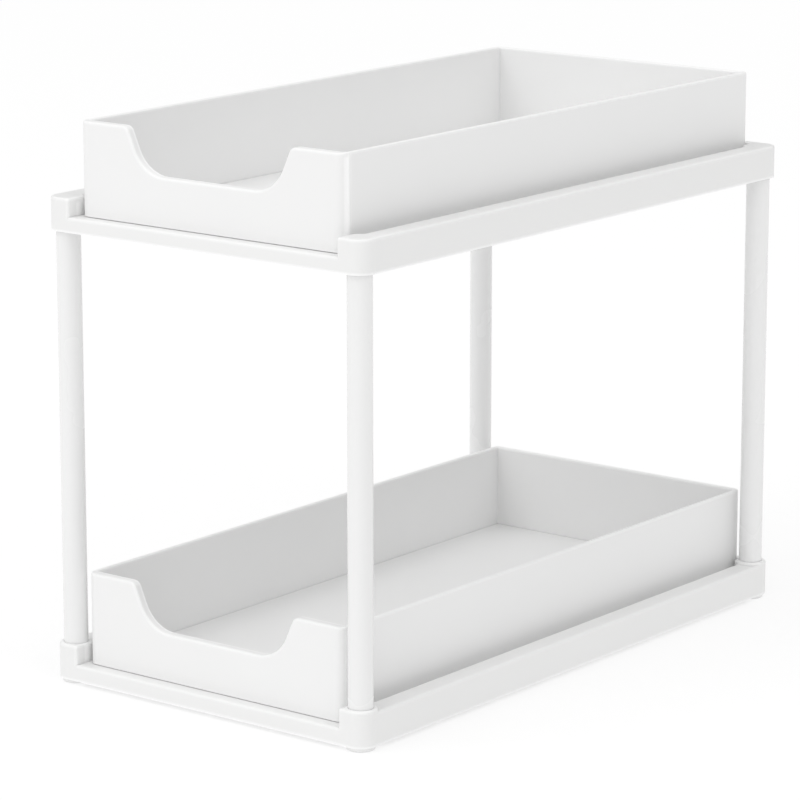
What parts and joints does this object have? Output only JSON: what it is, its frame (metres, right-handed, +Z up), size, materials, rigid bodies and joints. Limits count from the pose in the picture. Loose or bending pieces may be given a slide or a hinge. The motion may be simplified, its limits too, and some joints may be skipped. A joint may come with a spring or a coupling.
{
  "type": "under sink organizer",
  "caption": "Tiered organizer: moulded frames on tube posts, each carrying an open pull-out tray whose front has a wide finger dip.",
  "frame": {"origin": "centre of the bounding box's footprint, on the surface that the feet stand on", "axes": "+Y from the tray fronts to the back, the long way; +X to the right for someone facing the tray fronts; +Z up"},
  "size_m": [0.227, 0.405, 0.3249],
  "materials": {
    "frame_plastic": "satin white moulded plastic",
    "tray_plastic": "satin white moulded plastic",
    "post_plastic": "semi-gloss white extruded tube",
    "foot_plastic": "soft white plastic"
  },
  "bodies": {
    "rack": {"lower_frame": "frame_plastic", "upper_frame": "frame_plastic", "post_front_left": "post_plastic", "post_front_right": "post_plastic", "post_back_left": "post_plastic", "post_back_right": "post_plastic", "foot_front_left": "foot_plastic", "foot_front_right": "foot_plastic", "foot_back_left": "foot_plastic", "foot_back_right": "foot_plastic"},
    "lower_drawer": {"lower_tray": "tray_plastic", "lower_tray_front": "tray_plastic"},
    "upper_drawer": {"upper_tray": "tray_plastic", "upper_tray_front": "tray_plastic"}
  },
  "joints": [
    {"name": "lower_tray_slide", "type": "slide", "parent": "rack", "child": "lower_drawer", "axis": [0, -1, 0], "range_m": [0, 0.19]},
    {"name": "upper_tray_slide", "type": "slide", "parent": "rack", "child": "upper_drawer", "axis": [0, -1, 0], "range_m": [0, 0.19]}
  ]
}
